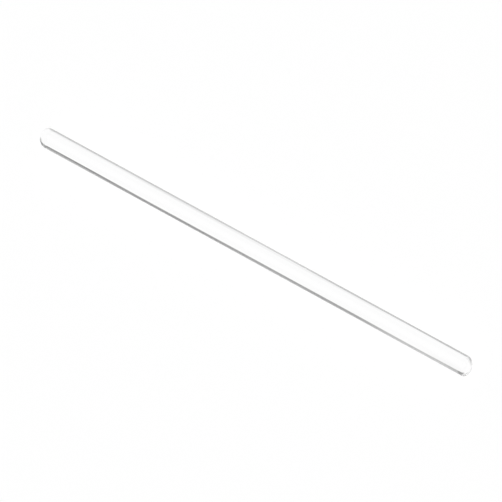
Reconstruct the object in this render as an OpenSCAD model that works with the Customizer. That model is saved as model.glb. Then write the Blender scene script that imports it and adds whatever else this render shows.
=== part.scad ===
// Glass stirring rod: one straight length of solid clear glass, with both ends melted smooth.
// The rod lies along X with its middle at the origin. Lengths are in millimetres, angles in degrees.

/* [Rod] */

// Overall length, from tip to tip
rod_length = 150; // [60:5:400]

// Diameter of the straight glass
rod_diameter = 6; // [3:0.5:12]

/* [Blunter end, at +X] */

// How far the melted end stands out from the straight wall, measured on the axis
blunt_end_depth = 2.3; // [0.5:0.1:6]

// Slope left by snapping the glass a little off square, which makes the -Y side the longer one
blunt_end_slope = 9.5; // [0:0.5:20]

/* [Rounder end, at -X] */

// How far the melted end stands out from the straight wall, measured on the axis
round_end_depth = 2.6; // [0.5:0.1:6]

// Slope left by snapping the glass a little off square, which makes the +Y side the longer one
round_end_slope = 8; // [0:0.5:20]

/* [Hidden] */
$fn = 96;

rod_radius = rod_diameter / 2;

// How far a sloped end reaches along X at its furthest point, which lies a little off the axis.
function reach(depth, slope) = norm([depth, rod_radius * tan(slope)]);

// Where the straight wall stops on the axis, so that the two tips come to rod_length.
blunt_wall_x = rod_length / 2 - reach(blunt_end_depth, blunt_end_slope);
round_wall_x = reach(round_end_depth, round_end_slope) - rod_length / 2;

// Slides its children along X in step with Y, so that a square face slopes and a round wall stays
// on the same radius. along_x stretches or squashes them along X in the same move.
module slide(slope, along_x = 1) {
    multmatrix([[along_x, -tan(slope), 0, 0], [0, 1, 0, 0], [0, 0, 1, 0]])
        children();
}

// A half ball of the rod's own radius, with its dome toward +X.
module half_ball() {
    rotate([0, 90, 0])
        rotate_extrude()
            intersection() {
                circle(r = rod_radius);
                square(rod_radius);
            }
}

// Everything past the plane where the straight wall stops, toward +X.
module past_wall() {
    translate([0, -rod_diameter, -rod_diameter])
        cube(2 * rod_diameter);
}

// The straight wall, trimmed to the slope of each end.
module straight_wall() {
    difference() {
        rotate([0, 90, 0])
            cylinder(r = rod_radius, h = rod_length, center = true);
        translate([blunt_wall_x, 0, 0])
            slide(blunt_end_slope)
                past_wall();
        translate([round_wall_x, 0, 0])
            slide(round_end_slope)
                mirror([1, 0, 0])
                    past_wall();
    }
}

// One body: the wall with a half ball melted onto each trimmed face, squashed to the end's depth.
module rod() {
    color("aliceblue", 0.35) {
        straight_wall();
        translate([blunt_wall_x, 0, 0])
            slide(blunt_end_slope, along_x = blunt_end_depth / rod_radius)
                half_ball();
        translate([round_wall_x, 0, 0])
            slide(round_end_slope, along_x = round_end_depth / rod_radius)
                mirror([1, 0, 0])
                    half_ball();
    }
}

rod();
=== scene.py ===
import math

import bmesh
import bpy
from mathutils import Matrix, Vector


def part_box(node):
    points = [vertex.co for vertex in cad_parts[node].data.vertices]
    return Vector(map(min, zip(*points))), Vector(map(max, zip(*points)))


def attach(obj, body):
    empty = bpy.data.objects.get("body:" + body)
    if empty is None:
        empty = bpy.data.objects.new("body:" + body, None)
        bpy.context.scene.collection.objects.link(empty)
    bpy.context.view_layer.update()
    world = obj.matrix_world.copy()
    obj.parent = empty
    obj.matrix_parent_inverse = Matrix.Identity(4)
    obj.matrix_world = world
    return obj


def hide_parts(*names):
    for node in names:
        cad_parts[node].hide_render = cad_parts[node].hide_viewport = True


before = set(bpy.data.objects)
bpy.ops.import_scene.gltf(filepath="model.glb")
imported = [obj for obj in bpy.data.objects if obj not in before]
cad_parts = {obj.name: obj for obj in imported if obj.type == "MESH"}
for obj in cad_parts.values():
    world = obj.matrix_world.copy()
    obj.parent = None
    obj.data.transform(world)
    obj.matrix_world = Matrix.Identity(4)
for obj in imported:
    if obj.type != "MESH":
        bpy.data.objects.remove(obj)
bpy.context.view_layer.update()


# The stirring rod. It is one length of solid clear borosilicate glass, drawn to an even gauge,
# snapped a little off square and melted back at both ends in a flame. The -X end was held in the
# flame longer and came out rounder. Nothing is fixed to it.

rod_low, rod_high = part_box("rod")
rod_radius = (rod_high.z - rod_low.z) / 2

BLUNT_DEPTH = 0.0023
BLUNT_SLOPE = math.tan(math.radians(9.5))
ROUND_DEPTH = 0.0026
ROUND_SLOPE = math.tan(math.radians(8))

blunt_wall_x = rod_high.x - math.hypot(BLUNT_DEPTH, rod_radius * BLUNT_SLOPE)
round_wall_x = rod_low.x + math.hypot(ROUND_DEPTH, rod_radius * ROUND_SLOPE)

SIDES = 256
DOME_RINGS = 48
WALL_RINGS = 60


def along(start, end, share):
    return start + (end - start) * share


# Each ring is its middle on the axis, its radius, and the slope that shears it along X.
rings = []
for step in range(1, DOME_RINGS + 1):
    angle = math.pi / 2 * step / DOME_RINGS
    x = round_wall_x - ROUND_DEPTH * math.cos(angle)
    rings.append((x, rod_radius * math.sin(angle), ROUND_SLOPE))
for step in range(1, WALL_RINGS):
    share = step / WALL_RINGS
    x = along(round_wall_x, blunt_wall_x, share)
    rings.append((x, rod_radius, along(ROUND_SLOPE, BLUNT_SLOPE, share)))
for step in range(DOME_RINGS, 0, -1):
    angle = math.pi / 2 * step / DOME_RINGS
    x = blunt_wall_x + BLUNT_DEPTH * math.cos(angle)
    rings.append((x, rod_radius * math.sin(angle), BLUNT_SLOPE))

glass = bmesh.new()
loops = []
for x, radius, slope in rings:
    loop = []
    for side in range(SIDES):
        turn = 2 * math.pi * side / SIDES
        y = radius * math.cos(turn)
        z = radius * math.sin(turn)
        loop.append(glass.verts.new((x - slope * y, y, z)))
    loops.append(loop)
round_pole = glass.verts.new((round_wall_x - ROUND_DEPTH, 0, 0))
blunt_pole = glass.verts.new((blunt_wall_x + BLUNT_DEPTH, 0, 0))
for side in range(SIDES):
    after = (side + 1) % SIDES
    glass.faces.new((round_pole, loops[0][after], loops[0][side]))
    glass.faces.new((blunt_pole, loops[-1][side], loops[-1][after]))
    for near, far in zip(loops, loops[1:]):
        glass.faces.new((near[side], near[after], far[after], far[side]))
for face in glass.faces:
    face.smooth = True
bmesh.ops.recalc_face_normals(glass, faces=glass.faces)
rod_mesh = bpy.data.meshes.new("glass_rod")
glass.to_mesh(rod_mesh)
glass.free()
rod = bpy.data.objects.new("glass_rod", rod_mesh)
bpy.context.scene.collection.objects.link(rod)

# The glass is colourless. Drawing it out of the furnace left very fine lines along its length,
# and handling has left a haze that is only just there.
GLASS_INDEX = 1.473
clear_glass = bpy.data.materials.new("clear_glass")
clear_glass.use_nodes = True
nodes = clear_glass.node_tree.nodes
links = clear_glass.node_tree.links
shader = nodes["Principled BSDF"]
shader.inputs["Transmission Weight"].default_value = 1.0
shader.inputs["IOR"].default_value = GLASS_INDEX

# The draw lines run almost the whole length, and the flame has melted them away at both ends.
DRAW_LINES_PER_METRE = 5000
DRAW_LINE_STRETCH = 0.004
DRAW_LINE_DETAIL = 2
DRAW_LINE_DEPTH = 0.000006
FLAME_START = 0.066
FLAME_END = 0.072
place = nodes.new("ShaderNodeTexCoord")
stretch = nodes.new("ShaderNodeMapping")
stretch.inputs["Scale"].default_value = (DRAW_LINE_STRETCH, 1, 1)
links.new(place.outputs["Object"], stretch.inputs["Vector"])
draw_lines = nodes.new("ShaderNodeTexNoise")
draw_lines.inputs["Scale"].default_value = DRAW_LINES_PER_METRE
draw_lines.inputs["Detail"].default_value = DRAW_LINE_DETAIL
links.new(stretch.outputs["Vector"], draw_lines.inputs["Vector"])
place_axes = nodes.new("ShaderNodeSeparateXYZ")
links.new(place.outputs["Object"], place_axes.inputs[0])
from_middle = nodes.new("ShaderNodeMath")
from_middle.operation = "ABSOLUTE"
links.new(place_axes.outputs["X"], from_middle.inputs[0])
unmelted = nodes.new("ShaderNodeMapRange")
unmelted.interpolation_type = "SMOOTHSTEP"
unmelted.inputs["From Min"].default_value = FLAME_END
unmelted.inputs["From Max"].default_value = FLAME_START
links.new(from_middle.outputs[0], unmelted.inputs["Value"])
relief = nodes.new("ShaderNodeBump")
relief.inputs["Distance"].default_value = DRAW_LINE_DEPTH
links.new(unmelted.outputs["Result"], relief.inputs["Strength"])
links.new(draw_lines.outputs["Fac"], relief.inputs["Height"])
links.new(relief.outputs["Normal"], shader.inputs["Normal"])

# The haze lies in soft patches a finger wide, drawn out a little along the rod.
HAZE_PATCHES_PER_METRE = 110
HAZE_STRETCH = 0.4
HAZE_DETAIL = 5
HAZE_BREAKUP = 0.62
HAZE_STARTS_AT = 0.42
HAZE_FULL_AT = 0.72
CLEAN_ROUGHNESS = 0.0
HAZY_ROUGHNESS = 0.09
smear = nodes.new("ShaderNodeMapping")
smear.inputs["Scale"].default_value = (HAZE_STRETCH, 1, 1)
links.new(place.outputs["Object"], smear.inputs["Vector"])
haze = nodes.new("ShaderNodeTexNoise")
haze.inputs["Scale"].default_value = HAZE_PATCHES_PER_METRE
haze.inputs["Detail"].default_value = HAZE_DETAIL
haze.inputs["Roughness"].default_value = HAZE_BREAKUP
links.new(smear.outputs["Vector"], haze.inputs["Vector"])
handled = nodes.new("ShaderNodeMapRange")
handled.inputs["From Min"].default_value = HAZE_STARTS_AT
handled.inputs["From Max"].default_value = HAZE_FULL_AT
handled.inputs["To Min"].default_value = CLEAN_ROUGHNESS
handled.inputs["To Max"].default_value = HAZY_ROUGHNESS
links.new(haze.outputs["Fac"], handled.inputs["Value"])
links.new(handled.outputs["Result"], shader.inputs["Roughness"])


def grey_ramp(nodes, stops):
    ramp = nodes.new("ShaderNodeValToRGB")
    elements = ramp.color_ramp.elements
    elements.remove(elements[-1])
    for number, (position, level) in enumerate(stops):
        element = elements[0] if number == 0 else elements.new(position)
        element.position = position
        element.color = (level, level, level, 1)
    return ramp


# The rod's outline is painted shade: at a glancing angle the glass's own colour is greyed, to stand
# in for the dark edges that bent light shows. Each pair is how steeply the surface turns from the
# eye, and the painted grey there.
PAINTED_EDGE_SHADES = (
    (0.42, 1.0), (0.46, 0.74), (0.52, 0.61), (0.60, 0.36), (0.75, 0.16), (0.84, 0.30), (0.92, 0.60),
)
EVEN_BLEND = 0.5
glance = nodes.new("ShaderNodeLayerWeight")
glance.inputs["Blend"].default_value = EVEN_BLEND
painted_edge_shade = grey_ramp(nodes, PAINTED_EDGE_SHADES)
links.new(glance.outputs["Facing"], painted_edge_shade.inputs["Fac"])

# The painted edge shade fades as the surface turns toward an end: at once at the -X end, and only
# round the very tip at the +X end. Each pair is how far the surface faces +X, and how much of the
# painted shade has gone.
EDGE_SHADE_END_FADES = ((-0.25, 1.0), (-0.10, 0.12), (-0.02, 0.0), (0.60, 0.0), (0.95, 0.94))
surface = nodes.new("ShaderNodeNewGeometry")
facings = nodes.new("ShaderNodeSeparateXYZ")
links.new(surface.outputs["Normal"], facings.inputs[0])
endward = nodes.new("ShaderNodeMapRange")
endward.inputs["From Min"].default_value = -1
links.new(facings.outputs["X"], endward.inputs["Value"])
edge_shade_gone = grey_ramp(nodes, [((turn + 1) / 2, level) for turn, level in EDGE_SHADE_END_FADES])
links.new(endward.outputs["Result"], edge_shade_gone.inputs["Fac"])
# Painted shade: the glass's colour is greyed toward its outline, and left white where it has faded.
edge_shade_colour = nodes.new("ShaderNodeMix")
edge_shade_colour.data_type = "RGBA"
edge_shade_colour.inputs[7].default_value = (1, 1, 1, 1)
links.new(edge_shade_gone.outputs["Color"], edge_shade_colour.inputs["Factor"])
links.new(painted_edge_shade.outputs["Color"], edge_shade_colour.inputs[6])
links.new(edge_shade_colour.outputs[2], shader.inputs["Base Color"])

# Light goes through clear glass, so its shadow is faint.
GLASS_SHADOW = (0.45, 0.45, 0.45, 1)
passing_light = nodes.new("ShaderNodeBsdfTransparent")
passing_light.inputs["Color"].default_value = GLASS_SHADOW
ray = nodes.new("ShaderNodeLightPath")
shade = nodes.new("ShaderNodeMixShader")
links.new(ray.outputs["Is Shadow Ray"], shade.inputs["Fac"])
links.new(shader.outputs["BSDF"], shade.inputs[1])
links.new(passing_light.outputs["BSDF"], shade.inputs[2])
links.new(shade.outputs["Shader"], nodes["Material Output"].inputs["Surface"])
rod_mesh.materials.append(clear_glass)

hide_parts("rod")
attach(rod, "root")


# The table top. It is a plain white board, far wider than the rod. Under the line where the rod
# touches it, a slot lets light up from the trough below. The slot is narrower than the glass and
# stops short of both of its ends, so that the glass covers it.

TABLE_HALF = 6.0
SLOT_HALF = rod_radius / 4
SLOT_INSET_AT_ROUND_END = 0.0005
SLOT_INSET_AT_BLUNT_END = 0.0020
table_z = rod_low.z
slot_start = rod_low.x + SLOT_INSET_AT_ROUND_END
slot_end = rod_high.x - SLOT_INSET_AT_BLUNT_END

table_points = []
for x, y in ((-1, -1), (1, -1), (1, 1), (-1, 1)):
    table_points.append((x * TABLE_HALF, y * TABLE_HALF, table_z))
for x, y in ((slot_start, -1), (slot_end, -1), (slot_end, 1), (slot_start, 1)):
    table_points.append((x, y * SLOT_HALF, table_z))
table_mesh = bpy.data.meshes.new("table_top")
table_mesh.from_pydata(table_points, [], [(0, 1, 5, 4), (1, 2, 6, 5), (2, 3, 7, 6), (3, 0, 4, 7)])
table = bpy.data.objects.new("table_top", table_mesh)
bpy.context.scene.collection.objects.link(table)

# The board is painted nearly white, so it takes the rod's shadow. A share of plain white is mixed
# in where it is seen or mirrored, and a smaller share where it is seen through the glass.
TABLE_PAINT = (0.93, 0.93, 0.93, 1)
WHITE_WHERE_SEEN = 0.4
WHITE_THROUGH_GLASS = 0.2
white_board = bpy.data.materials.new("white_board")
white_board.use_nodes = True
nodes = white_board.node_tree.nodes
links = white_board.node_tree.links
nodes.clear()
paint = nodes.new("ShaderNodeBsdfDiffuse")
paint.inputs["Color"].default_value = TABLE_PAINT
plain_white = nodes.new("ShaderNodeEmission")
ray = nodes.new("ShaderNodeLightPath")
seen_or_mirrored = nodes.new("ShaderNodeMath")
seen_or_mirrored.operation = "MAXIMUM"
links.new(ray.outputs["Is Camera Ray"], seen_or_mirrored.inputs[0])
links.new(ray.outputs["Is Glossy Ray"], seen_or_mirrored.inputs[1])
through_glass = nodes.new("ShaderNodeMath")
through_glass.operation = "MULTIPLY"
through_glass.inputs[1].default_value = WHITE_THROUGH_GLASS
links.new(ray.outputs["Is Transmission Ray"], through_glass.inputs[0])
whiteness = nodes.new("ShaderNodeMath")
whiteness.operation = "MULTIPLY_ADD"
whiteness.inputs[1].default_value = WHITE_WHERE_SEEN
links.new(seen_or_mirrored.outputs[0], whiteness.inputs[0])
links.new(through_glass.outputs[0], whiteness.inputs[2])
board = nodes.new("ShaderNodeMixShader")
links.new(whiteness.outputs[0], board.inputs["Fac"])
links.new(paint.outputs["BSDF"], board.inputs[1])
links.new(plain_white.outputs["Emission"], board.inputs[2])
output = nodes.new("ShaderNodeOutputMaterial")
links.new(board.outputs["Shader"], output.inputs["Surface"])
table_mesh.materials.append(white_board)


# The light trough. It is a long half-round trough under the slot, lit white along its bottom and
# darker up its flanks, which draws the dark edges that clear glass shows. The +Y flank is much the
# darker one. Past the glass, where the eye meets it directly, the trough is plain white.

TROUGH_RADIUS = 0.5
TROUGH_HALF = 2.0
TROUGH_STEPS = 64
TROUGH_DROP = 0.0005

trough_points = []
trough_faces = []
for step in range(TROUGH_STEPS + 1):
    angle = math.pi * (step / TROUGH_STEPS - 0.5)
    for end in (-TROUGH_HALF, TROUGH_HALF):
        y = TROUGH_RADIUS * math.sin(angle)
        z = table_z - TROUGH_DROP - TROUGH_RADIUS * math.cos(angle)
        trough_points.append((end, y, z))
for step in range(TROUGH_STEPS):
    trough_faces.append((2 * step, 2 * step + 1, 2 * step + 3, 2 * step + 2))
trough_mesh = bpy.data.meshes.new("light_trough")
trough_mesh.from_pydata(trough_points, [], trough_faces)
trough = bpy.data.objects.new("light_trough", trough_mesh)
bpy.context.scene.collection.objects.link(trough)

# Each stretch of the trough has its own light, and each stretch of the rod looks down into one or
# two of them. From -X to +X, this is brightness against the angle across the trough, in degrees
# from straight down, plus toward +Y.
END_LIGHT = (
    (-66, 0.60), (-50, 0.76), (-37, 0.85), (-29, 0.93), (-22, 1.0),
    (38, 1.0), (60, 0.75),
)
LEFT_LIGHT = (
    (-66, 0.78), (-58, 0.80), (-50, 0.90), (-44, 0.90), (-39, 0.92), (-35, 0.97), (-31, 1.0),
    (32, 1.0), (34.5, 0.82), (36.5, 0.20), (38.5, 0.04), (43, 0.12), (48, 0.28), (60, 0.7),
)
MIDDLE_LIGHT = (
    (-60, 0.84), (-48, 0.89), (-42, 0.84), (-36, 0.86), (-32, 0.95), (-29, 1.0),
    (33.6, 1.0), (36.3, 0.82), (38, 0.56), (40.2, 0.42), (43, 0.23), (50, 0.25), (60, 0.5),
)
CENTRE_LIGHT = (
    (-60, 1.0), (-48, 1.0), (-42, 0.95), (-36, 0.88), (-31, 0.95), (-27, 1.0),
    (33.3, 1.0), (36, 0.68), (38, 0.42), (40.2, 0.36), (43, 0.26), (50, 0.40), (60, 0.7),
)
JOIN_LIGHT = (
    (-60, 0.72), (-52, 0.80), (-44, 0.88), (-36, 0.90), (-31, 0.98), (-26, 1.0),
    (24, 1.0), (29, 0.97), (33, 0.95), (35.5, 0.69), (37.5, 0.38), (40, 0.34), (43, 0.26),
    (50, 0.36), (60, 0.6),
)
RIGHT_LIGHT = (
    (-68, 0.65), (-52, 0.80), (-46, 0.92), (-42, 1.0), (-36, 0.94), (-31, 1.0),
    (33, 1.0), (36, 0.86), (38, 0.75), (41, 0.56), (45, 0.38), (50, 0.64), (58, 0.92), (66, 1.0),
)
CORNER_LIGHT = (
    (-68, 0.60), (-52, 0.66), (-46, 0.80), (-42, 0.92), (-36, 0.94), (-31, 1.0),
    (15, 1.0), (20, 0.97), (31, 0.95), (34, 0.84), (37, 0.66), (41, 0.48), (44, 0.38), (48, 0.70),
    (55, 1.0),
)
SHOULDER_LIGHT = ((30, 1.0), (33, 0.95), (38, 0.18), (50, 0.15))
TIP_LIGHT = ((16, 1.0), (20, 0.78), (23, 0.62), (28, 0.36), (35, 0.12))

# The trough starts with its -X end's light. Each row is where along X the next one fades in.
LIGHTS_FROM_END = (
    (-0.370, -0.190, LEFT_LIGHT),
    (-0.224, -0.191, MIDDLE_LIGHT),
    (-0.175, -0.140, CENTRE_LIGHT),
    (-0.137, -0.108, JOIN_LIGHT),
    (-0.101, -0.079, RIGHT_LIGHT),
    (-0.073, -0.061, CORNER_LIGHT),
    (-0.064, -0.040, SHOULDER_LIGHT),
    (-0.020, 0.180, TIP_LIGHT),
)

trough_light = bpy.data.materials.new("trough_light")
trough_light.use_nodes = True
nodes = trough_light.node_tree.nodes
links = trough_light.node_tree.links
nodes.clear()
place = nodes.new("ShaderNodeNewGeometry")
axes = nodes.new("ShaderNodeSeparateXYZ")
links.new(place.outputs["Position"], axes.inputs[0])
below = nodes.new("ShaderNodeMath")
below.operation = "SUBTRACT"
below.inputs[0].default_value = table_z
links.new(axes.outputs["Z"], below.inputs[1])
across = nodes.new("ShaderNodeMath")
across.operation = "ARCTAN2"
links.new(axes.outputs["Y"], across.inputs[0])
links.new(below.outputs[0], across.inputs[1])
across_share = nodes.new("ShaderNodeMapRange")
across_share.inputs["From Min"].default_value = -math.pi / 2
across_share.inputs["From Max"].default_value = math.pi / 2
links.new(across.outputs[0], across_share.inputs["Value"])


def light_across(stops):
    ramp = grey_ramp(nodes, [((degrees + 90) / 180, level) for degrees, level in stops])
    links.new(across_share.outputs["Result"], ramp.inputs["Fac"])
    return ramp.outputs["Color"]


def blend_along(start_x, end_x, start_colour, end_colour):
    share = nodes.new("ShaderNodeMapRange")
    share.interpolation_type = "SMOOTHSTEP"
    share.inputs["From Min"].default_value = start_x
    share.inputs["From Max"].default_value = end_x
    links.new(axes.outputs["X"], share.inputs["Value"])
    blend = nodes.new("ShaderNodeMix")
    blend.data_type = "RGBA"
    links.new(share.outputs["Result"], blend.inputs["Factor"])
    links.new(start_colour, blend.inputs[6])
    links.new(end_colour, blend.inputs[7])
    return blend.outputs[2]


light = light_across(END_LIGHT)
for start_x, end_x, stops in LIGHTS_FROM_END:
    light = blend_along(start_x, end_x, light, light_across(stops))
ray = nodes.new("ShaderNodeLightPath")
seen = nodes.new("ShaderNodeMix")
seen.data_type = "RGBA"
seen.inputs[7].default_value = (1, 1, 1, 1)
links.new(ray.outputs["Is Camera Ray"], seen.inputs["Factor"])
links.new(light, seen.inputs[6])
glow = nodes.new("ShaderNodeEmission")
links.new(seen.outputs[2], glow.inputs["Color"])
output = nodes.new("ShaderNodeOutputMaterial")
links.new(glow.outputs["Emission"], output.inputs["Surface"])
trough_mesh.materials.append(trough_light)


# The stop is painted shade. It is a scrap of dark grey card that glows dimly, held just under the
# slot at the blunt end. It stands in for the rod's contact shadow there and darkens the edge of the
# glass.

SHADE_CARD_DEPTH = 0.0015
SHADE_CARD_X = (0.07075, 0.0735)
SHADE_CARD_Y = (0.0005, 0.0032)
SHADE_CARD_GREY = (0.28, 0.28, 0.28, 1)

shade_card_points = []
for x, y in ((0, 0), (1, 0), (1, 1), (0, 1)):
    shade_card_points.append((SHADE_CARD_X[x], SHADE_CARD_Y[y], table_z - SHADE_CARD_DEPTH))
shade_card_mesh = bpy.data.meshes.new("shade_card")
shade_card_mesh.from_pydata(shade_card_points, [], [(0, 1, 2, 3)])
shade_card = bpy.data.objects.new("shade_card", shade_card_mesh)
bpy.context.scene.collection.objects.link(shade_card)

painted_shade_card = bpy.data.materials.new("painted_shade_card")
painted_shade_card.use_nodes = True
nodes = painted_shade_card.node_tree.nodes
links = painted_shade_card.node_tree.links
nodes.clear()
# Painted shade: the card's dim grey glow stands in for the shadow under the blunt end.
shade_card_glow = nodes.new("ShaderNodeEmission")
shade_card_glow.inputs["Color"].default_value = SHADE_CARD_GREY
output = nodes.new("ShaderNodeOutputMaterial")
links.new(shade_card_glow.outputs["Emission"], output.inputs["Surface"])
shade_card_mesh.materials.append(painted_shade_card)


# The studio. Soft light comes from all round, and most of it from one wide lamp overhead that
# leans toward +X, as the camera does. The room that the glass mirrors and bends is darker half way
# up its walls, except at the -X end.

LEAN = math.radians(16.3)
ROOM_LEVEL = 0.35
KEY_LEVEL = 0.75
KEY_WIDTH = math.radians(10)
WALL_LEVELS = ((12, 1.0), (22, 0.45), (50, 0.45), (66, 1.0))
PALE_END_STARTS = -0.35
PALE_END_FULL = -0.60

studio = bpy.data.worlds.new("studio")
studio.use_nodes = True
bpy.context.scene.world = studio
nodes = studio.node_tree.nodes
links = studio.node_tree.links
nodes.clear()
direction = nodes.new("ShaderNodeTexCoord")
axes = nodes.new("ShaderNodeSeparateXYZ")
links.new(direction.outputs["Generated"], axes.inputs[0])
walls = grey_ramp(nodes, [(math.sin(math.radians(height)), level) for height, level in WALL_LEVELS])
links.new(axes.outputs["Z"], walls.inputs["Fac"])
pale_end = nodes.new("ShaderNodeMapRange")
pale_end.interpolation_type = "SMOOTHSTEP"
pale_end.inputs["From Min"].default_value = PALE_END_STARTS
pale_end.inputs["From Max"].default_value = PALE_END_FULL
links.new(axes.outputs["X"], pale_end.inputs["Value"])
around = nodes.new("ShaderNodeMix")
around.data_type = "RGBA"
around.inputs[7].default_value = (1, 1, 1, 1)
links.new(pale_end.outputs["Result"], around.inputs["Factor"])
links.new(walls.outputs["Color"], around.inputs[6])

# The camera sees the backdrop plain white, other light rays find it at the room's level, and the
# glass mirrors and bends the walls.
ray = nodes.new("ShaderNodeLightPath")
backdrop = nodes.new("ShaderNodeMapRange")
backdrop.inputs["To Min"].default_value = ROOM_LEVEL
links.new(ray.outputs["Is Camera Ray"], backdrop.inputs["Value"])
in_glass = nodes.new("ShaderNodeMath")
in_glass.operation = "MAXIMUM"
links.new(ray.outputs["Is Glossy Ray"], in_glass.inputs[0])
links.new(ray.outputs["Is Transmission Ray"], in_glass.inputs[1])
room = nodes.new("ShaderNodeMix")
room.data_type = "RGBA"
links.new(in_glass.outputs[0], room.inputs["Factor"])
links.new(backdrop.outputs["Result"], room.inputs[6])
links.new(around.outputs[2], room.inputs[7])
background = nodes.new("ShaderNodeBackground")
links.new(room.outputs[2], background.inputs["Color"])
output = nodes.new("ShaderNodeOutputWorld")
links.new(background.outputs["Background"], output.inputs["Surface"])

key_data = bpy.data.lights.new("key_light", "SUN")
key_data.energy = KEY_LEVEL * math.pi
key_data.angle = KEY_WIDTH
key = bpy.data.objects.new("key_light", key_data)
key.rotation_euler = (0, LEAN, 0)
bpy.context.scene.collection.objects.link(key)

# Light that is caught inside the rod turns back many times before it leaves by an end.
MOST_TURNS = 256
bounces = bpy.context.scene.cycles
bounces.max_bounces = MOST_TURNS
bounces.glossy_bounces = MOST_TURNS
bounces.transmission_bounces = MOST_TURNS
bpy.context.scene.view_settings.view_transform = "Standard"


# The camera. It looks almost straight down with a very long lens, leaning toward the +X end, and
# is rolled so that the rod falls from upper left to lower right.

CAMERA_ROLL = math.radians(28.64)
CAMERA_DISTANCE = 1.95
AIM_RIGHT = -0.000875
AIM_UP = -0.000116
LENS = 476.1
FILM_WIDTH = 36.0
NEAREST = 0.05
FURTHEST = 50.0

toward_camera = Vector((math.sin(LEAN), 0, math.cos(LEAN)))
rod_axis = Vector((1, 0, 0))
level_right = (rod_axis - rod_axis.dot(toward_camera) * toward_camera).normalized()
level_up = toward_camera.cross(level_right)
right = math.cos(CAMERA_ROLL) * level_right + math.sin(CAMERA_ROLL) * level_up
up = toward_camera.cross(right)
standpoint = right * AIM_RIGHT + up * AIM_UP + toward_camera * CAMERA_DISTANCE

camera_data = bpy.data.cameras.new("camera")
camera_data.sensor_width = FILM_WIDTH
camera_data.lens = LENS
camera_data.clip_start = NEAREST
camera_data.clip_end = FURTHEST
camera = bpy.data.objects.new("camera", camera_data)
bpy.context.scene.collection.objects.link(camera)
camera.matrix_world = Matrix((
    (right.x, up.x, toward_camera.x, standpoint.x),
    (right.y, up.y, toward_camera.y, standpoint.y),
    (right.z, up.z, toward_camera.z, standpoint.z),
    (0, 0, 0, 1),
))
bpy.context.scene.camera = camera
